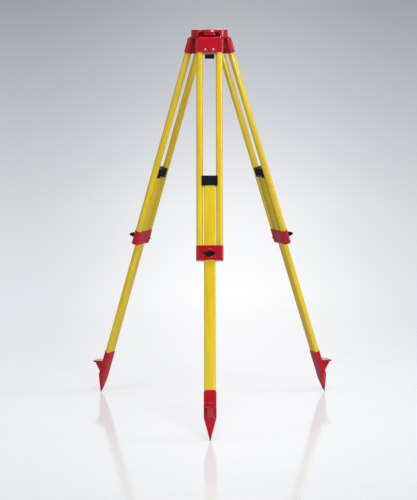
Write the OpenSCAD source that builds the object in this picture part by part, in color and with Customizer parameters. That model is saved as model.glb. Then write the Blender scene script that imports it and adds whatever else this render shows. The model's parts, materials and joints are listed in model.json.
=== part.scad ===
// Surveyor tripod with telescopic wooden legs. Millimetres, +Z up.
// The origin is the centre of the head's flat top, where an instrument is seated.
// Each leg is drawn in its own frame: origin on its hinge axis, Z up along the leg,
// -Y outward. n is a distance outward from the hinge axis, and l one down the leg.

/* [Stance] */
// Angle of each leg from the vertical
leg_tilt = 18.55; // [16:0.05:22]
// Distance down the leg from its hinge axis to the foot point
foot_point_l = 1556.3; // [1500:0.1:1600]

/* [Head] */
// Diameter of the head plate
plate_d = 146; // [144:1:160]
// Thickness of the head plate
plate_t = 9; // [8:0.5:10]
// Radius of the opening that the fixing screw moves in
opening_r = 32; // [31.5:0.5:34]
// Distance of each hinge axis from the centre
hinge_r = 37.7; // [37.5:0.1:39]
// Depth of each hinge axis below the head's top
hinge_depth = 28.8; // [28:0.1:30]

/* [Legs] */
// Diameter of the upper rods
rod_d = 26; // [25.5:0.5:26]
// Distance between the two rods of a leg
rod_spacing = 75; // [75:1:78]
// Distance of the rods outward from the hinge axis
rod_n = 16; // [16:0.5:18]
// Width of the sliding slat
slat_w = 44; // [40:1:44]
// Thickness of the sliding slat
slat_t = 22; // [20:1:22]
// Radius of the slat's rounded edges
slat_r = 7; // [4:0.5:9]

/* [Fixing screw] */
// Major diameter of the 5/8 inch fixing screw
screw_d = 15.88; // [15.8:0.02:15.9]
// Diameter of the plumb bore through the fixing screw
plumb_d = 8; // [6:0.5:9]
// Diameter of the fixing screw's knob
knob_d = 37.6; // [34:0.2:37.6]
// Height that the screw stands above the head at rest
screw_proud = 1.5; // [1:0.5:4]

/* [Hidden] */
$fn = 96;
plate_r = plate_d / 2;
rod_r = rod_d / 2;
rod_t = rod_spacing / 2;
screw_r = screw_d / 2;
run_gap = 0.05;      // radial clearance of a running fit
part_gap = 0.3;      // clearance between parts that pass each other

// Head plate, as depths below the flat top
rim_t = 7;
rim_depth = 17;
skirt_depth = 28;
skirt_a = 22;        // half angle of the deep part of the rim, between two legs
block_in = 58;
block_w = 25;
block_depth = 33;
lip_depth = 14;      // strengthened edge of the opening
notch_half = 40;     // half width of the gap in the rim above a leg

// Hinges
axle_r = 5;
axle_end_r = 4;
lug_half = 21.7;
lug_r = 11;
cheek_in = 22;
cheek_out = 33;
knuckle_r = 12.5;
washer_t = 1.6;
nut_r = 7.5;
nut_t = 6.5;
axle_half = 43;

// Leg-top casting
socket_r = 15.5;
socket_top_l = 12;
casting_end_l = 69.5;
rod_top_l = 20;
front_n = rod_n + socket_r;
panel_screw_l = 60;
panel_screw_t = 15.5;
panel_back_n = 24;
shoulder_half = 38;
nut_front_n = 9.5;
pocket_top_l = 22;
pocket_end_l = 65;

// Slider
slider_top_l = 555.2;
slider_h = 38;
slider_cap = 6;

// Lower clamp casting
clamp_top_l = 824.4;
clamp_h = 57.7;
clamp_r = 15;
rod_end_l = clamp_top_l + 48;
clamp_screw_l = 860;
housing_half = 22;
housing_n = 34.6;
boss_r = 12;
boss_n = 39;
stud_r = 5;
pad_r = 8;
pad_t = 4;
arch_r = 100;
arch_rise = 2;
hub_r = 8.5;
hub_h = 13;
wing_half = 22;
wing_rise = 22;
wing_tip = 7;
wing_z = 10;

// Shoe
shoe_top_l = 1369.3;
shoe_wall = 2;
shoe_grip = 60;
taper_l = shoe_top_l + 103;
shoe_end_l = foot_point_l - 10;
foot_n = 7;          // the point stands inward of the slat's middle
foot_half = 3.8;
foot_stem_r = 2;
foot_stem_h = 18;
step_t = 7;
step_l = shoe_top_l + 48;
step_reach = 46;
gusset_half = 11;
shoulder_r = 9;
step_drop = 22;      // slope of the step, in degrees below square to the leg

// Fixing screw group, as heights
arm_top_z = -44;
arm_t = 5;
arm_pivot_y = 46;
arm_half = 15;
arm_end_r = 12;
pivot_r = 5;
pivot_stem_r = 3;
pivot_head_r = 9;
pivot_head_t = 4;
groove_r = 7.2;      // root of the fixing screw's groove for the retaining ring
slot_half = 10.3;
carriage_travel = 13;
knob_bottom_z = -113;
knob_grip_h = 31;
hub_top_z = -68;

LEG_PIECES = [
    "hinge_axle", "axle_nuts", "leg_casting", "panel_screws", "rod_left", "rod_right",
    "clamp_casting", "rod_screws", "clamp_pad", "clamp_stud", "wing_knob",
    "slat", "slider", "slider_screws", "shoe", "shoe_screws", "foot_point"
];
HEAD_PIECES = [
    "head_plate", "arm_pivot_screw", "swing_arm", "carriage", "retaining_ring",
    "fixing_screw", "screw_knob"
];

// ---- shapes that repeat ----

// Flat oval of two round ends and straight sides
module oval(half, r) {
    square([2 * half, 2 * r], center = true);
    for (s = [-1, 1]) translate([s * half, 0]) circle(r);
}

module rounded_rect(w, h, r) {
    square([w, h - 2 * r], center = true);
    square([w - 2 * r, h], center = true);
    for (x = [-1, 1], y = [-1, 1]) translate([x * (w / 2 - r), y * (h / 2 - r)]) circle(r);
}

// Section of the slat, widened by a gap all round
module slat_hole(gap) {
    rounded_rect(slat_w + 2 * gap, slat_t + 2 * gap, slat_r + gap);
}

// Places one leg's frame on the head: leg 1 points to -Y
module on_leg(i) {
    rotate([0, 0, 120 * (i - 1)]) translate([0, -hinge_r, -hinge_depth])
        rotate([-leg_tilt, 0, 0]) children();
}

// Extrudes along the leg, from l_top down to l_end, about the rods' plane
module along(l_top, l_end) {
    translate([0, -rod_n, -l_end]) linear_extrude(l_end - l_top) children();
}

// Extrudes a side outline, whose X is outward and Y up the leg, over |t| < half
module side(half) {
    mirror([0, 1, 0]) rotate([90, 0, 90]) translate([0, 0, -half])
        linear_extrude(2 * half) children();
}

// A cylinder across the leg, centred on the hinge axis
module across(r, half) {
    rotate([0, 90, 0]) cylinder(r = r, h = 2 * half, center = true);
}

// A cylinder that points outward, from n1 to n2, at t across and l down
module outward(r, t, l, n1, n2) {
    translate([t, -n1, -l]) rotate([90, 0, 0]) cylinder(r = r, h = n2 - n1);
}

// ---- head ----

module lug() {
    across(lug_r, lug_half);
    translate([-lug_half, -lug_r, 0]) cube([2 * lug_half, 2 * lug_r, hinge_depth - plate_t + 1]);
}

module corner_block() {
    intersection() {
        translate([block_in, -block_w / 2, -block_depth])
            cube([plate_r - block_in, block_w, block_depth - plate_t + 1]);
        translate([0, 0, -block_depth - 1]) cylinder(r = plate_r - 1, h = block_depth + 1);
    }
}

// A ring under the edge of the plate
module ring(depth) {
    difference() {
        translate([0, 0, -depth]) cylinder(r = plate_r, h = depth - plate_t + 1);
        translate([0, 0, -depth - 1]) cylinder(r = plate_r - rim_t, h = depth + 3);
    }
}

module rim() {
    difference() {
        ring(rim_depth);
        for (i = [0 : 2]) rotate([0, 0, 120 * i]) translate([-notch_half, -plate_r - 2, -rim_depth - 1])
            cube([2 * notch_half, 60, rim_depth + 1 - plate_t]);
    }
    // deeper between the legs
    intersection() {
        ring(skirt_depth);
        for (i = [0 : 2]) rotate([0, 0, 120 * i]) translate([0, 0, -skirt_depth - 1])
            linear_extrude(skirt_depth + 1) polygon([
                [0, 0],
                2 * plate_r * [sin(skirt_a), cos(skirt_a)],
                2 * plate_r * [-sin(skirt_a), cos(skirt_a)]
            ]);
    }
}

module head_plate() {
    post_h = -arm_top_z - part_gap - plate_t;
    color("firebrick") difference() {
        union() {
            translate([0, 0, -plate_t]) cylinder(r = plate_r, h = plate_t);
            rim();
            translate([0, 0, -lip_depth]) cylinder(r = opening_r + 4, h = lip_depth - plate_t + 1);
            for (i = [0 : 2]) rotate([0, 0, 120 * i]) {
                translate([0, -hinge_r, -hinge_depth]) lug();
                rotate([0, 0, 90]) corner_block();
            }
            // post of the swinging arm's pivot
            translate([0, arm_pivot_y, arm_top_z + part_gap]) cylinder(r = 5.5, h = post_h + 1);
            translate([0, arm_pivot_y, -19]) cylinder(r = 8.5, h = 19 - plate_t + 1);
        }
        translate([0, 0, -16]) cylinder(r = opening_r, h = 20);
        translate([0, 0, -50]) cylinder(r = opening_r - 2.5, h = 55);
        for (i = [0 : 2]) rotate([0, 0, 120 * i]) translate([0, -hinge_r, -hinge_depth])
            across(axle_r + run_gap, lug_half + 1);
        translate([0, arm_pivot_y, arm_top_z]) cylinder(r = pivot_stem_r + run_gap, h = 16);
    }
}

// ---- fixing screw group ----

module arm_pivot_screw() {
    head_z = arm_top_z - arm_t - part_gap - pivot_head_t;
    color("silver") translate([0, arm_pivot_y, 0]) {
        translate([0, 0, arm_top_z]) cylinder(r = pivot_stem_r, h = 14);
        translate([0, 0, arm_top_z - arm_t - part_gap]) cylinder(r = pivot_r, h = arm_t + 2 * part_gap);
        difference() {
            translate([0, 0, head_z]) cylinder(r = pivot_head_r, h = pivot_head_t);
            translate([0, 0, head_z - 0.5]) cylinder(r = 3, h = 3, $fn = 6);
        }
    }
}

module swing_arm() {
    color("dimgray") translate([0, 0, arm_top_z - arm_t]) difference() {
        linear_extrude(arm_t) {
            translate([0, arm_pivot_y]) circle(arm_end_r);
            translate([-arm_end_r, 20]) square([2 * arm_end_r, arm_pivot_y - 20]);
            translate([0, -1]) rounded_rect(2 * arm_half, 62, 6);
        }
        translate([0, arm_pivot_y, -1]) cylinder(r = pivot_r + run_gap, h = arm_t + 2);
        translate([0, 0, -1]) linear_extrude(arm_t + 2)
            rotate(90) oval(carriage_travel + 0.5, slot_half);
    }
}

module carriage() {
    color("gray") difference() {
        union() {
            translate([0, 0, arm_top_z + part_gap]) cylinder(r = 13, h = 2);
            translate([0, 0, arm_top_z - arm_t - 3]) cylinder(r = 10, h = arm_t + 4);
            translate([0, 0, arm_top_z - arm_t - part_gap - 3]) cylinder(r = 14, h = 3);
        }
        translate([0, 0, -60]) cylinder(r = screw_r + run_gap, h = 40);
    }
}

module retaining_ring() {
    color("silver") translate([0, 0, arm_top_z + 2.6]) difference() {
        cylinder(r = 10, h = 2);
        translate([0, 0, -1]) cylinder(r = groove_r + 0.1, h = 4);
    }
}

module fixing_screw() {
    color("silver") difference() {
        union() {
            translate([0, 0, knob_bottom_z + 3])
                cylinder(r = screw_r, h = screw_proud - 1 - knob_bottom_z - 3);
            translate([0, 0, screw_proud - 1]) cylinder(r1 = screw_r, r2 = screw_r - 1, h = 1);
        }
        translate([0, 0, knob_bottom_z]) cylinder(r = plumb_d / 2, h = 120);
        translate([0, 0, arm_top_z + 2.3]) difference() {
            cylinder(r = 9, h = 2.6);
            translate([0, 0, -1]) cylinder(r = groove_r, h = 5);
        }
    }
}

module screw_knob() {
    color([0.12, 0.12, 0.13]) difference() {
        union() {
            translate([0, 0, knob_bottom_z]) cylinder(r = knob_d / 2, h = knob_grip_h);
            translate([0, 0, knob_bottom_z + knob_grip_h - 1])
                cylinder(r = 11.5, h = hub_top_z - knob_bottom_z - knob_grip_h + 1);
        }
        translate([0, 0, knob_bottom_z + 3]) cylinder(r = screw_r + run_gap, h = 60);
        translate([0, 0, knob_bottom_z - 1]) cylinder(r = plumb_d / 2, h = 10);
        for (a = [0 : 18 : 359]) rotate([0, 0, a])
            translate([knob_d / 2 + 0.4, 0, knob_bottom_z + 2]) cylinder(r = 1.6, h = knob_grip_h);
    }
}

// ---- upper leg ----

module hinge_axle() {
    color("silver") {
        across(axle_r, cheek_out);
        across(axle_end_r, axle_half);
    }
}

module axle_nuts() {
    color("dimgray") for (s = [-1, 1]) difference() {
        union() {
            translate([s * (cheek_out + washer_t / 2), 0, 0]) across(8, washer_t / 2);
            translate([s * (cheek_out + washer_t + nut_t / 2), 0, 0])
                rotate([0, 90, 0]) cylinder(r = nut_r, h = nut_t, center = true, $fn = 6);
        }
        across(axle_end_r + run_gap, axle_half + 1);
    }
}

// Highest point of the casting's sloping shoulder
shoulder_top = [8, 12];
// Steepest direction of the lug in the leg's frame, with the leg opened fully
open_a = 34;

module leg_casting() {
    outline = [
        [0, 0],
        shoulder_top,
        [front_n, -socket_top_l],
        [front_n, -casting_end_l],
        [rod_n - socket_r, -casting_end_l],
        [rod_n - socket_r, 0]
    ];
    clear_r = knuckle_r - 0.5;
    color("firebrick") difference() {
        union() {
            along(socket_top_l, casting_end_l) oval(40, socket_r);
            across(knuckle_r, cheek_out);
            side(cheek_out) polygon(outline);
            // wider shoulder that hides the axle nuts
            intersection() {
                side(shoulder_half) polygon(outline);
                translate([-shoulder_half - 1, -front_n - 1, -socket_top_l - 5])
                    cube([2 * shoulder_half + 2, front_n + 1 - nut_front_n, 40]);
            }
        }
        // room for the head's lug as the leg swings
        across(clear_r, cheek_in);
        side(cheek_in) polygon([
            [-30, -clear_r],
            [0, -clear_r],
            clear_r * [cos(open_a), -sin(open_a)],
            clear_r * [cos(open_a), -sin(open_a)] + 40 * [sin(open_a), cos(open_a)],
            [-30, 40]
        ]);
        // pocket in the inward side
        translate([-20, -panel_back_n, -pocket_end_l])
            cube([40, panel_back_n + 2, pocket_end_l - pocket_top_l]);
        across(axle_r + run_gap, cheek_out + 1);
        for (s = [-1, 1]) {
            translate([s * rod_t, -rod_n, -casting_end_l - 1])
                cylinder(r = rod_r + run_gap, h = casting_end_l - rod_top_l + 1);
            outward(2.6, s * panel_screw_t, panel_screw_l, panel_back_n - 1, front_n + 1);
            outward(5, s * panel_screw_t, panel_screw_l, front_n - 3, front_n + 1);
        }
        // notch between the two screws
        translate([-0.8, -front_n - 1, -casting_end_l - 1]) cube([1.6, 5, 16]);
    }
}

module panel_screws() {
    color("silver") for (s = [-1, 1]) difference() {
        union() {
            outward(2.5, s * panel_screw_t, panel_screw_l, 18, front_n - 3);
            outward(4.3, s * panel_screw_t, panel_screw_l, front_n - 3, front_n + 1);
        }
        translate([s * panel_screw_t, -front_n + 1.5, -panel_screw_l]) rotate([90, 0, 0])
            cylinder(r = 2.3, h = 4, $fn = 6);
    }
}

module rod(s) {
    color("gold") difference() {
        translate([s * rod_t, -rod_n, -rod_end_l]) cylinder(r = rod_r, h = rod_end_l - rod_top_l);
        outward(2.5, s * rod_t, clamp_screw_l, 0, 14);
    }
}

module clamp_casting() {
    clamp_end_l = clamp_top_l + clamp_h;
    color("firebrick") difference() {
        union() {
            along(clamp_top_l, clamp_end_l) oval(37, clamp_r);
            // raised housing of the clamp screw, round at its top
            outward(housing_half, 0, clamp_screw_l, rod_n, housing_n);
            translate([-housing_half, -housing_n, -clamp_end_l])
                cube([2 * housing_half, housing_n - rod_n, clamp_end_l - clamp_screw_l]);
            outward(boss_r, 0, clamp_screw_l, rod_n + clamp_r - 2, boss_n);
        }
        along(clamp_top_l - 1, clamp_end_l + 1) slat_hole(0.4);
        for (s = [-1, 1]) {
            translate([s * rod_t, -rod_n, -rod_end_l]) cylinder(r = rod_r + run_gap, h = 60);
            outward(2.5, s * rod_t, clamp_screw_l, 0, 10);
        }
        outward(stud_r + run_gap, 0, clamp_screw_l, rod_n + 8, boss_n + 1);
        outward(pad_r + 0.4, 0, clamp_screw_l, rod_n + 8, rod_n + slat_t / 2 + pad_t + 3.6);
        // arched lower edge around the slat
        translate([0, 10, -clamp_end_l - arch_r + arch_rise]) rotate([90, 0, 0])
            cylinder(r = arch_r, h = 60);
    }
}

module rod_screws() {
    color("silver") for (s = [-1, 1]) difference() {
        union() {
            outward(4.5, s * rod_t, clamp_screw_l, -1.5, rod_n - clamp_r);
            outward(2.4, s * rod_t, clamp_screw_l, 0, 13);
        }
        outward(1.8, s * rod_t, clamp_screw_l, -2, -0.3);
    }
}

// ---- leg clamp screw ----

pad_n = rod_n + slat_t / 2 + part_gap;

module clamp_pad() {
    color("dimgray") outward(pad_r, 0, clamp_screw_l, pad_n, pad_n + pad_t);
}

module clamp_stud() {
    color("silver") outward(stud_r, 0, clamp_screw_l, pad_n + pad_t, boss_n + 6);
}

module wing_knob() {
    hub_n = boss_n + 1;
    wing_edge = 2.4;
    color([0.12, 0.12, 0.13]) difference() {
        union() {
            outward(hub_r, 0, clamp_screw_l, hub_n, hub_n + hub_h);
            // two wings: a swept outline seen along the leg, tapered seen from outside
            intersection() {
                translate([0, -hub_n, -clamp_screw_l]) linear_extrude(2 * wing_z, center = true) polygon([
                    [-hub_r, 0], [hub_r, 0], [wing_half, -wing_rise + wing_tip],
                    [wing_half, -wing_rise], [wing_half - wing_tip, -wing_rise], [5, -hub_h],
                    [-5, -hub_h], [-wing_half + wing_tip, -wing_rise],
                    [-wing_half, -wing_rise], [-wing_half, -wing_rise + wing_tip]
                ]);
                translate([0, 0, -clamp_screw_l]) rotate([90, 0, 0]) linear_extrude(90) polygon([
                    [-wing_half - 1, -wing_edge], [-wing_half - 1, wing_edge], [-7, wing_z],
                    [7, wing_z], [wing_half + 1, wing_edge], [wing_half + 1, -wing_edge],
                    [7, -wing_z], [-7, -wing_z]
                ]);
            }
        }
        outward(stud_r + run_gap, 0, clamp_screw_l, hub_n - 1, boss_n + 6);
    }
}

// ---- sliding lower leg ----

module slat() {
    color("gold") difference() {
        along(slider_top_l + slider_cap, shoe_top_l + shoe_grip)
            rounded_rect(slat_w, slat_t, slat_r);
        for (s = [-1, 1]) {
            outward(1.6, 8 * s, slider_top_l + slider_h - 5, 0, 14);
            outward(2.1, 10 * s, shoe_top_l + 26, 0, 18);
        }
    }
}

module slider() {
    color([0.12, 0.12, 0.13]) difference() {
        along(slider_top_l, slider_top_l + slider_h) rounded_rect(62, 28, 3);
        along(slider_top_l + slider_cap, slider_top_l + slider_h + 1) slat_hole(run_gap);
        for (s = [-1, 1]) {
            translate([s * rod_t, -rod_n, -slider_top_l - slider_h - 1])
                cylinder(r = rod_r + 0.5, h = slider_h + 2);
            outward(1.6, 8 * s, slider_top_l + slider_h - 5, 0, 8);
        }
    }
}

module slider_screws() {
    color("silver") for (s = [-1, 1]) {
        outward(1.5, 8 * s, slider_top_l + slider_h - 5, 1, 13);
        outward(3, 8 * s, slider_top_l + slider_h - 5, 0.8, rod_n - 14);
    }
}

module shoe() {
    half_w = slat_w / 2 + shoe_wall;
    half_n = slat_t / 2 + shoe_wall;
    root_n = rod_n + half_n;
    color("firebrick") difference() {
        union() {
            // body: a tube cut to a wedge in front and side view
            intersection() {
                along(shoe_top_l, shoe_end_l) rounded_rect(2 * half_w, 2 * half_n, slat_r + shoe_wall);
                translate([0, -rod_n, 0]) rotate([90, 0, 0]) linear_extrude(60, center = true) {
                    translate([0, -(shoe_top_l + taper_l) / 2])
                        rounded_rect(2 * half_w, taper_l - shoe_top_l, shoulder_r);
                    polygon([
                        [half_w, -taper_l + 20], [half_w, -taper_l], [foot_half, -shoe_end_l],
                        [-foot_half, -shoe_end_l], [-half_w, -taper_l], [-half_w, -taper_l + 20]
                    ]);
                }
                side(60) polygon([
                    [-40, -shoe_top_l + 1], [60, -shoe_top_l + 1], [60, -taper_l + 50],
                    [root_n, -taper_l], [foot_n + foot_half, -shoe_end_l],
                    [-40, -shoe_end_l]
                ]);
            }
            // step for the operator's foot, with its gusset
            translate([0, -root_n + 3, -step_l]) rotate([step_drop, 0, 0]) intersection() {
                translate([-24, -step_reach - 3, -step_t]) cube([48, step_reach + 3, step_t]);
                translate([0, 0, -step_t - 1]) linear_extrude(step_t + 2)
                    translate([0, 24 - step_reach]) rounded_rect(48, 54, 9);
            }
            side(gusset_half) polygon([
                [root_n - 4, -step_l - 4],
                [root_n - 3, -step_l - 4] + (step_reach + 1) * [cos(step_drop), -sin(step_drop)],
                [root_n, -taper_l],
                [root_n - 4, -taper_l]
            ]);
        }
        along(shoe_top_l - 1, shoe_top_l + shoe_grip) slat_hole(run_gap);
        for (s = [-1, 1]) outward(2.1, 10 * s, shoe_top_l + 26, 0, 6);
        translate([0, -foot_n, -shoe_end_l - 1])
            cylinder(r = foot_stem_r + run_gap, h = foot_stem_h + 2);
    }
}

module shoe_screws() {
    color("silver") for (s = [-1, 1]) {
        outward(2, 10 * s, shoe_top_l + 26, 2, 17);
        outward(4, 10 * s, shoe_top_l + 26, 1.4, rod_n - slat_t / 2 - shoe_wall);
    }
}

module foot_point() {
    tip_h = foot_point_l - shoe_end_l;
    tip_r = 1.6;
    color("dimgray") translate([0, -foot_n, -foot_point_l]) {
        translate([0, 0, tip_h]) cylinder(r = foot_stem_r, h = foot_stem_h);
        translate([0, 0, tip_r + 0.8]) cylinder(r1 = tip_r, r2 = foot_half - 0.2, h = tip_h - tip_r - 0.8);
        translate([0, 0, tip_r]) cylinder(r = tip_r, h = 0.8);
        translate([0, 0, tip_r]) sphere(r = tip_r);
    }
}

// ---- assembly ----

head_plate();
arm_pivot_screw();
swing_arm();
carriage();
retaining_ring();
fixing_screw();
screw_knob();
for (i = [1 : 3]) {
    on_leg(i) hinge_axle();
    on_leg(i) axle_nuts();
    on_leg(i) leg_casting();
    on_leg(i) panel_screws();
    on_leg(i) rod(-1);
    on_leg(i) rod(1);
    on_leg(i) clamp_casting();
    on_leg(i) rod_screws();
    on_leg(i) clamp_pad();
    on_leg(i) clamp_stud();
    on_leg(i) wing_knob();
    on_leg(i) slat();
    on_leg(i) slider();
    on_leg(i) slider_screws();
    on_leg(i) shoe();
    on_leg(i) shoe_screws();
    on_leg(i) foot_point();
}
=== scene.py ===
"""Surveyor tripod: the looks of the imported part. Lengths are in metres, in the part's own frame:
origin at the centre of the head's flat top, +Z up, leg 1 towards -Y."""

import json
import math

import bmesh
import bpy
from mathutils import Matrix, Vector


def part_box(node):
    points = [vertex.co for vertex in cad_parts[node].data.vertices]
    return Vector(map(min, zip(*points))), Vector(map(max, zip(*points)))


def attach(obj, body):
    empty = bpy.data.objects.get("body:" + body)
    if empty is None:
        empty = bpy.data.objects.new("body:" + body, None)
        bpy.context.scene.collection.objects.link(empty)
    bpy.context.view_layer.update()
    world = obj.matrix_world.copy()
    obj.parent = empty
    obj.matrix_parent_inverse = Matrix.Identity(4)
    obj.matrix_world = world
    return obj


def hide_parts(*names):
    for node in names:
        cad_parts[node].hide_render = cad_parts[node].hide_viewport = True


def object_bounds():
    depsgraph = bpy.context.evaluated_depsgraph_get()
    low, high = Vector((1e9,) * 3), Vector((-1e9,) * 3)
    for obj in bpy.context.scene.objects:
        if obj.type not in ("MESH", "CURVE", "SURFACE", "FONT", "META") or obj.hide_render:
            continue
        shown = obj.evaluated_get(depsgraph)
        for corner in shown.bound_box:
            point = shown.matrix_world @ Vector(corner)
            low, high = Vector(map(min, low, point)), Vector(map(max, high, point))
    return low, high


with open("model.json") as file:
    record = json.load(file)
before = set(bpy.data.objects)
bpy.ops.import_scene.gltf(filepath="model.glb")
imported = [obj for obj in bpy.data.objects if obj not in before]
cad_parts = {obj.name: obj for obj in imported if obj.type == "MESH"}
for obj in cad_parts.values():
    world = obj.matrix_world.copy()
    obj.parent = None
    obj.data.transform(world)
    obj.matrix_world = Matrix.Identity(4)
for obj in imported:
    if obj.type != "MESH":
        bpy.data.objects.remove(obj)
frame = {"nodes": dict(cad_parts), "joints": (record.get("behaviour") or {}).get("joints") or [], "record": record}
CAD_BOX = [list(corner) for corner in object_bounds()]
NODES = frame["nodes"]
JOINTS = {joint["name"]: joint for joint in frame["joints"]}
LEGS = (1, 2, 3)
MM = 0.001
GROUND_Z = CAD_BOX[0][2]
ROD_END = 1.5 * MM         # rounding at the ends of rods and slats
SLAT_CORNER = 7 * MM       # radius of a slat's long edges
PAD_EDGE = 1.2 * MM
BEVEL = 0.3 * MM
PLUMB_BORE = 4.0 * MM      # radius
THREAD_PITCH = 25.4 * MM / 11
THREAD_DEPTH = 1.25 * MM
THREAD_LENGTH = 44 * MM


# ---------------------------------------------------------------- node helpers

def new_material(name):
    """A material with one Principled shader; returns (material, node tree, shader)."""
    material = bpy.data.materials.new(name)
    material.use_nodes = True
    tree = material.node_tree
    return material, tree, tree.nodes["Principled BSDF"]


def add(tree, kind, **sockets):
    """Adds a node; keyword values go to its sockets (spaces as _), or to its settings."""
    node = tree.nodes.new(kind)
    for key, value in sockets.items():
        label = key.replace("_", " ")
        if label in node.inputs:
            node.inputs[label].default_value = value
        else:
            setattr(node, key, value)
    return node


def object_coordinates(tree, scale=(1, 1, 1)):
    """Coordinates fixed to the piece, in metres times scale."""
    coordinates = add(tree, "ShaderNodeTexCoord")
    mapping = add(tree, "ShaderNodeMapping")
    mapping.inputs["Scale"].default_value = scale
    tree.links.new(coordinates.outputs["Object"], mapping.inputs["Vector"])
    return mapping.outputs["Vector"]


def noise(tree, vector, scale, detail=4.0, roughness=0.55):
    texture = add(tree, "ShaderNodeTexNoise", Scale=scale, Detail=detail, Roughness=roughness)
    tree.links.new(vector, texture.inputs["Vector"])
    return texture.outputs["Fac"]


def ramp(tree, factor, stops):
    """A colour ramp with (position, (r, g, b)) stops."""
    node = add(tree, "ShaderNodeValToRGB")
    elements = node.color_ramp.elements
    while len(elements) < len(stops):
        elements.new(0.5)
    for element, (position, colour) in zip(elements, stops):
        element.position = position
        element.color = (*colour, 1)
    tree.links.new(factor, node.inputs["Fac"])
    return node.outputs["Color"]


def spread(tree, factor, low, high):
    """Maps 0..1 to low..high."""
    node = add(tree, "ShaderNodeMapRange")
    node.inputs["To Min"].default_value = low
    node.inputs["To Max"].default_value = high
    tree.links.new(factor, node.inputs["Value"])
    return node.outputs["Result"]


def bump(tree, shader, height, distance, strength=1.0, after=None):
    """Adds a bump from a height to the shader, on top of an earlier bump."""
    node = add(tree, "ShaderNodeBump", Strength=strength, Distance=distance)
    tree.links.new(height, node.inputs["Height"])
    if after is not None:
        tree.links.new(after, node.inputs["Normal"])
    tree.links.new(node.outputs["Normal"], shader.inputs["Normal"])
    return node.outputs["Normal"]


# ------------------------------------------------------------------- materials

def red_enamel():
    """Glossy red enamel over cast aluminium: faint colour drift and orange peel."""
    material, tree, shader = new_material("red_enamel")
    vector = object_coordinates(tree)
    drift = noise(tree, vector, 14, 3)
    colour = ramp(tree, drift, [(0.3, (0.34, 0.0010, 0.009)), (0.55, (0.41, 0.0014, 0.012)),
                                (0.8, (0.46, 0.0025, 0.016))])
    tree.links.new(colour, shader.inputs["Base Color"])
    grain = noise(tree, vector, 260, 3)
    tree.links.new(spread(tree, grain, 0.16, 0.26), shader.inputs["Roughness"])
    first = bump(tree, shader, grain, 0.0004, 0.12)
    bump(tree, shader, noise(tree, vector, 900, 2), 0.0002, 0.08, first)
    shader.inputs["Specular IOR Level"].default_value = 0.3
    shader.inputs["Coat Weight"].default_value = 0.25
    shader.inputs["Coat Roughness"].default_value = 0.05
    return material


def yellow_wood():
    """Yellow lacquer over straight-grained hardwood; the grain runs along the piece's Z."""
    material, tree, shader = new_material("yellow_lacquered_wood")
    along = object_coordinates(tree, (1, 1, 0.03))
    fibre = noise(tree, along, 420, 5, 0.6)
    drift = noise(tree, object_coordinates(tree, (1, 1, 0.12)), 40, 3)
    mix = add(tree, "ShaderNodeMix", data_type="FLOAT")
    mix.inputs[0].default_value = 0.35
    tree.links.new(drift, mix.inputs[2])
    tree.links.new(fibre, mix.inputs[3])
    colour = ramp(tree, mix.outputs[0], [(0.34, (0.58, 0.39, 0.004)), (0.52, (0.67, 0.48, 0.006)),
                                         (0.68, (0.74, 0.57, 0.010))])
    tree.links.new(colour, shader.inputs["Base Color"])
    tree.links.new(spread(tree, fibre, 0.20, 0.30), shader.inputs["Roughness"])
    bump(tree, shader, fibre, 0.0003, 0.18)
    shader.inputs["Coat Weight"].default_value = 0.3
    shader.inputs["Coat Roughness"].default_value = 0.08
    return material


def black_plastic():
    """Moulded black plastic with a fine spark-eroded texture."""
    material, tree, shader = new_material("black_plastic")
    vector = object_coordinates(tree)
    grain = noise(tree, vector, 1400, 2)
    patch = noise(tree, vector, 60, 3)
    colour = ramp(tree, patch, [(0.35, (0.003, 0.004, 0.008)), (0.7, (0.007, 0.008, 0.013))])
    tree.links.new(colour, shader.inputs["Base Color"])
    tree.links.new(spread(tree, patch, 0.34, 0.48), shader.inputs["Roughness"])
    bump(tree, shader, grain, 0.0002, 0.35)
    shader.inputs["Specular IOR Level"].default_value = 0.12
    return material


def steel(name, dark, light, rough_low, rough_high):
    """Plated or oiled steel with fine turning marks and light stains."""
    material, tree, shader = new_material(name)
    vector = object_coordinates(tree)
    stain = noise(tree, vector, 120, 4)
    tree.links.new(ramp(tree, stain, [(0.3, dark), (0.7, light)]), shader.inputs["Base Color"])
    scratch = noise(tree, object_coordinates(tree, (1, 1, 8)), 600, 3)
    tree.links.new(spread(tree, scratch, rough_low, rough_high), shader.inputs["Roughness"])
    bump(tree, shader, scratch, 0.0001, 0.2)
    shader.inputs["Metallic"].default_value = 1.0
    return material


RED = red_enamel()
YELLOW = yellow_wood()
BLACK = black_plastic()
ZINC = steel("zinc_plated_steel", (0.50, 0.50, 0.52), (0.72, 0.72, 0.74), 0.22, 0.36)
DARK = steel("dark_steel", (0.025, 0.025, 0.028), (0.08, 0.08, 0.085), 0.42, 0.58)
SLOT_MATERIALS = {"red_paint": RED, "yellow_wood": YELLOW, "black_plastic": BLACK,
                  "zinc_steel": ZINC, "dark_steel": DARK}


# -------------------------------------------------------------- carried-over CAD

def finish_cad_nodes():
    """Gives each CAD node its detailed material and smooth shading."""
    slots = {part["node"]: part["material_slot"] for part in frame["record"]["subparts"]}
    for name, node in NODES.items():
        node.data.materials.clear()
        node.data.materials.append(SLOT_MATERIALS[slots[name]])
        node.data.shade_smooth()
        smooth = node.modifiers.new("edges", "EDGE_SPLIT")
        smooth.split_angle = math.radians(35)


def soften_casting(name, voxel, passes):
    """Rounds every edge of a CAD casting, as sand-cast and painted metal has them."""
    node = NODES[name]
    node.modifiers.clear()
    remesh = node.modifiers.new("cast_skin", "REMESH")
    remesh.mode = "VOXEL"
    remesh.voxel_size = voxel
    remesh.use_smooth_shade = True
    smooth = node.modifiers.new("cast_edges", "SMOOTH")
    smooth.factor = 0.5
    smooth.iterations = passes


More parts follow.
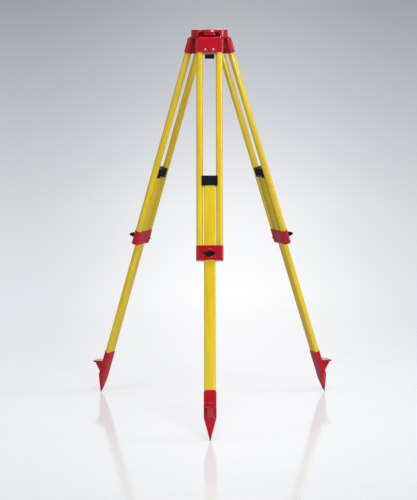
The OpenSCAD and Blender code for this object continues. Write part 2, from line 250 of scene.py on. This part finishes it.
def bevel_steel(name):
    """Breaks the sharp edges of a turned or milled steel node."""
    node = NODES[name]
    node.modifiers.clear()
    node.modifiers.new("joined", "WELD").merge_threshold = 0.01 * MM
    bevel = node.modifiers.new("broken_edges", "BEVEL")
    bevel.width = BEVEL
    bevel.segments = 2
    bevel.limit_method = "ANGLE"
    bevel.angle_limit = math.radians(35)
    edges = node.modifiers.new("edges", "EDGE_SPLIT")
    edges.split_angle = math.radians(50)


finish_cad_nodes()
for part in frame["record"]["subparts"]:
    if part["material_slot"] in ("zinc_steel", "dark_steel"):
        bevel_steel(part["node"])
soften_casting("head_plate", 1.0 * MM, 2)
soften_casting("screw_knob", 0.5 * MM, 2)
for leg in LEGS:
    for casting in ("leg_casting", "clamp_casting", "shoe"):
        soften_casting(f"{casting}_{leg}", 0.9 * MM, 3)
    soften_casting(f"slider_{leg}", 0.7 * MM, 2)
    soften_casting(f"wing_knob_{leg}", 0.45 * MM, 4)


# ---------------------------------------------------------- pieces made in mesh

def leg_frame(leg):
    """The leg's own frame: origin on its hinge axis, Z up along the leg, -Y outward."""
    up = -Vector(JOINTS[f"leg_slide_{leg}"]["axis"]).normalized()
    inward = -Vector(JOINTS[f"pad_slide_{leg}"]["axis"]).normalized()
    place = Matrix((inward.cross(up), inward, up)).transposed().to_4x4()
    place.translation = Vector(JOINTS[f"leg_hinge_{leg}"]["pos_m"])
    return place


def box_in(place, node):
    """Lowest and highest corner of a CAD node, in the frame place."""
    inverse = place.inverted()
    corners = [inverse @ vertex.co for vertex in NODES[node].data.vertices]
    low = Vector([min(c[axis] for c in corners) for axis in range(3)])
    high = Vector([max(c[axis] for c in corners) for axis in range(3)])
    return low, high


def add_piece(name, shape, place, body, material, slot, *replaced):
    """Turns a bmesh, made in the frame place, into a piece that rides on a body."""
    bmesh.ops.recalc_face_normals(shape, faces=shape.faces[:])
    mesh = bpy.data.meshes.new(name)
    shape.to_mesh(mesh)
    shape.free()
    mesh.shade_smooth()
    mesh.materials.append(material)
    piece = bpy.data.objects.new(name, mesh)
    bpy.context.scene.collection.objects.link(piece)
    piece.matrix_world = place
    edges = piece.modifiers.new("edges", "EDGE_SPLIT")
    edges.split_angle = math.radians(40)
    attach(piece, body)
    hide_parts(*replaced)
    return piece


def loft(rings):
    """A closed skin over rings of equal point counts, with its two ends capped."""
    shape = bmesh.new()
    loops = [[shape.verts.new(point) for point in ring] for ring in rings]
    count = len(rings[0])
    for lower, upper in zip(loops, loops[1:]):
        for i in range(count):
            j = (i + 1) % count
            shape.faces.new((lower[i], lower[j], upper[j], upper[i]))
    shape.faces.new(loops[0])
    shape.faces.new(loops[-1])
    return shape


def slat_ring(centre, half_x, half_y, corner, z, steps=8):
    """A rectangle in the XY plane whose corners are rounded."""
    ring = []
    for quarter, (x, y) in enumerate(((1, 1), (-1, 1), (-1, -1), (1, -1))):
        for step in range(steps + 1):
            angle = math.pi / 2 * (quarter + step / steps)
            ring.append((centre.x + x * (half_x - corner) + corner * math.cos(angle),
                         centre.y + y * (half_y - corner) + corner * math.sin(angle), z))
    return ring


def rounded_bar(low, high, edge, radius_of):
    """Rings of a bar along Z whose two ends are rounded over by edge."""
    steps = 5
    rings = []
    for end, direction in ((low, 1), (high, -1)):
        part = []
        for step in range(steps + 1):
            angle = math.pi / 2 * step / steps
            inset = edge * (1 - math.sin(angle))
            part.append(radius_of(end + direction * edge * (1 - math.cos(angle)), inset))
        rings.append(part)
    return rings[0] + rings[1][::-1]


def make_round_bar(name, place, edge, *piece):
    """A round bar along the Z of place, of a CAD node's size, with both ends rounded over by edge."""
    low, high = box_in(place, name)
    centre, radius = (low + high) / 2, (high.x - low.x) / 2

    def ring(z, inset):
        return [(centre.x + (radius - inset) * math.cos(a), centre.y + (radius - inset) * math.sin(a), z)
                for a in (math.tau * i / 64 for i in range(64))]

    shape = loft(rounded_bar(low.z, high.z, edge, ring))
    add_piece(f"finished_{name}", shape, place, *piece, name)


def make_rod(leg, side):
    make_round_bar(f"rod_{side}_{leg}", leg_frame(leg), ROD_END, f"leg_{leg}", YELLOW, "yellow_wood")


def make_pad(leg):
    """The clamp's pressure pad, whose edges clear the cast corners of its pocket."""
    outward = leg_frame(leg) @ Matrix.Rotation(math.pi / 2, 4, "X")
    make_round_bar(f"clamp_pad_{leg}", outward, PAD_EDGE, f"clamp_{leg}", DARK, "dark_steel")


def make_slat(leg):
    name = f"slat_{leg}"
    place = leg_frame(leg)
    low, high = box_in(place, name)
    centre, half = (low + high) / 2, (high - low) / 2

    def ring(z, inset):
        return slat_ring(centre, half.x - inset, half.y - inset, SLAT_CORNER - inset, z)

    shape = loft(rounded_bar(low.z, high.z, ROD_END, ring))
    add_piece(f"lacquered_{name}", shape, place, f"lower_leg_{leg}", YELLOW, "yellow_wood", name)


def make_fixing_screw():
    """The hollow 5/8 inch screw with its 11-per-inch thread on the upper part."""
    low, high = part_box("fixing_screw")
    radius = (high.x - low.x) / 2
    sides, rows_per_turn = 48, 8
    thread_low = high.z - THREAD_LENGTH

    def outer(angle, z):
        inside = min(z - thread_low, high.z - z) / THREAD_PITCH
        fade = max(0.0, min(1.0, inside))
        phase = (z / THREAD_PITCH - angle / math.tau) % 1
        return radius - THREAD_DEPTH * fade * abs(2 * phase - 1)

    step = THREAD_PITCH / rows_per_turn
    count = int((high.z - thread_low) / step)
    heights = [low.z, low.z + 1 * MM, thread_low - step]
    heights += [thread_low + step * i for i in range(count)] + [high.z]
    angles = [math.tau * i / sides for i in range(sides)]
    rings = [[(PLUMB_BORE * math.cos(a), PLUMB_BORE * math.sin(a), low.z) for a in angles]]
    for z in heights:
        edge = 0.8 * MM if z in (low.z, high.z) else 0
        reach = [(a, outer(a, z) - edge) for a in angles]
        rings.append([(r * math.cos(a), r * math.sin(a), z) for a, r in reach])
    rings.append([(PLUMB_BORE * math.cos(a), PLUMB_BORE * math.sin(a), high.z) for a in angles])
    shape = bmesh.new()
    loops = [[shape.verts.new(point) for point in ring] for ring in rings]
    for lower, upper in zip(loops, loops[1:] + loops[:1]):
        for i in range(sides):
            j = (i + 1) % sides
            shape.faces.new((lower[i], lower[j], upper[j], upper[i]))
    add_piece("threaded_fixing_screw", shape, Matrix.Identity(4), "screw", ZINC, "zinc_steel",
              "fixing_screw")


make_fixing_screw()
for leg in LEGS:
    make_rod(leg, "left")
    make_rod(leg, "right")
    make_slat(leg)
    make_pad(leg)


# ------------------------------------------------------------ camera and studio

def make_camera():
    """Stands 6.6 m in front, a little above the head, and looks slightly down."""
    distance, height, side = 6.5810, 1.5936, math.radians(0.718)
    pitch, roll = math.radians(8.286), math.radians(0.363)
    data = bpy.data.cameras.new("camera")
    data.lens = 120.8
    data.sensor_width = 36
    data.shift_x = -0.0047
    data.clip_end = 100
    camera = bpy.data.objects.new("camera", data)
    bpy.context.scene.collection.objects.link(camera)
    flat = Vector((-math.sin(side), math.cos(side), 0))
    right = Vector((math.cos(side), math.sin(side), 0))
    ahead = flat * math.cos(pitch) - Vector((0, 0, math.sin(pitch)))
    up = flat * math.sin(pitch) + Vector((0, 0, math.cos(pitch)))
    across = right * math.cos(roll) - up * math.sin(roll)
    top = up * math.cos(roll) + right * math.sin(roll)
    place = Matrix((across, top, -ahead)).transposed().to_4x4()
    place.translation = -flat * distance + Vector((0, 0, GROUND_Z + height))
    camera.matrix_world = place
    bpy.context.scene.camera = camera


def area_light(name, place, size, power, aim=(0, 0, -0.7)):
    """A rectangular softbox that the camera doesn't see, turned towards the tripod."""
    data = bpy.data.lights.new(name, "AREA")
    data.shape = "RECTANGLE"
    data.size, data.size_y = size
    data.energy = power
    light = bpy.data.objects.new(name, data)
    bpy.context.scene.collection.objects.link(light)
    light.location = place
    light.visible_camera = False
    light.rotation_euler = (Vector(aim) - Vector(place)).to_track_quat("-Z", "Y").to_euler()


def make_world():
    """A pale backdrop that glows low in the middle, and dimmer surroundings that light the object."""
    world = bpy.data.worlds.new("studio")
    bpy.context.scene.world = world
    world.use_nodes = True
    tree = world.node_tree
    coordinates = add(tree, "ShaderNodeTexCoord")
    split = add(tree, "ShaderNodeSeparateXYZ")
    tree.links.new(coordinates.outputs["Generated"], split.inputs["Vector"])

    height = add(tree, "ShaderNodeMapRange")
    height.inputs["From Min"].default_value = -0.30
    height.inputs["From Max"].default_value = 0.02
    tree.links.new(split.outputs["Z"], height.inputs["Value"])
    middle = ramp(tree, height.outputs["Result"], [
        (0.05, (0.82, 0.83, 0.85)), (0.28, (0.96, 0.96, 0.97)), (0.42, (1.0, 1.0, 1.0)),
        (0.57, (0.89, 0.90, 0.92)), (0.76, (0.62, 0.64, 0.68)), (0.95, (0.43, 0.45, 0.48))])
    edge = ramp(tree, height.outputs["Result"], [
        (0.05, (0.74, 0.76, 0.79)), (0.40, (0.77, 0.79, 0.82)), (0.57, (0.67, 0.69, 0.71)),
        (0.76, (0.50, 0.52, 0.55)), (0.95, (0.34, 0.36, 0.39))])
    sideways = add(tree, "ShaderNodeMath", operation="ABSOLUTE")
    tree.links.new(split.outputs["X"], sideways.inputs[0])
    falloff = add(tree, "ShaderNodeMapRange", interpolation_type="SMOOTHSTEP")
    falloff.inputs["From Max"].default_value = 0.125
    tree.links.new(sideways.outputs["Value"], falloff.inputs["Value"])
    backdrop = add(tree, "ShaderNodeMix", data_type="RGBA")
    tree.links.new(falloff.outputs["Result"], backdrop.inputs[0])
    tree.links.new(middle, backdrop.inputs[6])
    tree.links.new(edge, backdrop.inputs[7])

    sky = ramp(tree, split.outputs["Z"], [
        (0.0, (0.24, 0.24, 0.25)), (0.55, (0.17, 0.17, 0.18)), (0.85, (0.50, 0.50, 0.51))])
    # the lit wall behind the object, which its floor and its edges mirror
    behind = add(tree, "ShaderNodeMapRange", interpolation_type="SMOOTHSTEP")
    behind.inputs["From Min"].default_value = 0.80
    behind.inputs["From Max"].default_value = 0.93
    tree.links.new(split.outputs["Y"], behind.inputs["Value"])
    surroundings = add(tree, "ShaderNodeMix", data_type="RGBA")
    surroundings.inputs[7].default_value = (1.12, 1.13, 1.16, 1)
    tree.links.new(behind.outputs["Result"], surroundings.inputs[0])
    tree.links.new(sky, surroundings.inputs[6])
    seen = add(tree, "ShaderNodeLightPath")
    both = add(tree, "ShaderNodeMix", data_type="RGBA")
    tree.links.new(seen.outputs["Is Camera Ray"], both.inputs[0])
    tree.links.new(surroundings.outputs[2], both.inputs[6])
    tree.links.new(backdrop.outputs[2], both.inputs[7])
    tree.links.new(both.outputs[2], tree.nodes["Background"].inputs["Color"])


def make_floor():
    """A pale, faintly mirroring disc that fades into the backdrop towards its edge."""
    mesh = bpy.data.meshes.new("floor")
    shape = bmesh.new()
    bmesh.ops.create_circle(shape, cap_ends=True, radius=5, segments=96)
    shape.to_mesh(mesh)
    shape.free()
    floor = bpy.data.objects.new("floor", mesh)
    bpy.context.scene.collection.objects.link(floor)
    floor.location.z = GROUND_Z
    material, tree, shader = new_material("pale_floor")
    vector = object_coordinates(tree)
    tint = ramp(tree, noise(tree, vector, 3, 3), [(0.3, (0.93, 0.93, 0.94)), (0.7, (0.96, 0.96, 0.97))])
    tree.links.new(tint, shader.inputs["Base Color"])
    shader.inputs["Roughness"].default_value = 0.10
    shader.inputs["IOR"].default_value = 2.0
    distance = add(tree, "ShaderNodeVectorMath", operation="LENGTH")
    tree.links.new(vector, distance.inputs[0])
    fade = add(tree, "ShaderNodeMapRange")
    fade.inputs["From Min"].default_value = 0.7
    fade.inputs["From Max"].default_value = 2.4
    fade.inputs["To Min"].default_value = 0.55
    fade.inputs["To Max"].default_value = 0
    tree.links.new(distance.outputs["Value"], fade.inputs["Value"])
    tree.links.new(fade.outputs["Result"], shader.inputs["Alpha"])
    floor.data.materials.append(material)


make_camera()
make_world()
make_floor()
area_light("front", (2.3, -6.9, -0.5), (2.0, 1.6), 315)
area_light("right", (3.0, -0.1, 0.4), (0.8, 2.8), 40)
area_light("left", (-2.9, -1.6, 0.4), (0.7, 2.4), 14)
area_light("top", (0.3, -1.4, 3.0), (1.6, 1.2), 70)
bpy.context.scene.view_settings.view_transform = "Standard"
